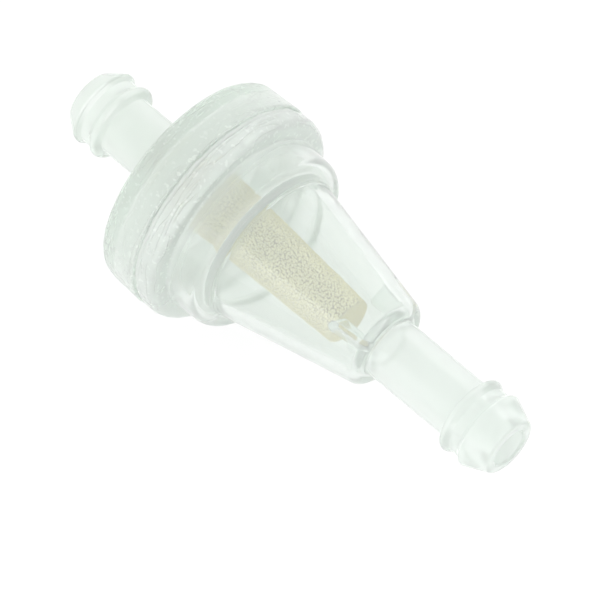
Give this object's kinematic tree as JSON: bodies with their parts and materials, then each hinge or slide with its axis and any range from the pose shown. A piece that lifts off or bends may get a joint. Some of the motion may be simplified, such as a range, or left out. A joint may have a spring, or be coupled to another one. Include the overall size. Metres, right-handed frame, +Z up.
{
  "type": "fuel filter",
  "caption": "Clear in-line fuel filter with a sintered bronze cone inside and a barbed hose nipple at each end.",
  "frame": {"origin": "on the filter's axis, halfway between the ends of the two nipples", "axes": "+X along the axis from the cap's nipple to the bowl's nipple, +Z up with the filter lying level"},
  "size_m": [0.057, 0.024, 0.0242],
  "materials": {
    "clear_cap": "clear moulded plastic, slightly hazy on the rim",
    "cement": "clear solvent cement with small bubbles",
    "clear_bowl": "clear glossy moulded plastic",
    "sintered_bronze": "fine sintered bronze grains, porous"
  },
  "bodies": {
    "root": {"cap": "clear_cap", "cement_ring": "cement", "bowl": "clear_bowl", "filter_element": "sintered_bronze"}
  },
  "joints": []
}
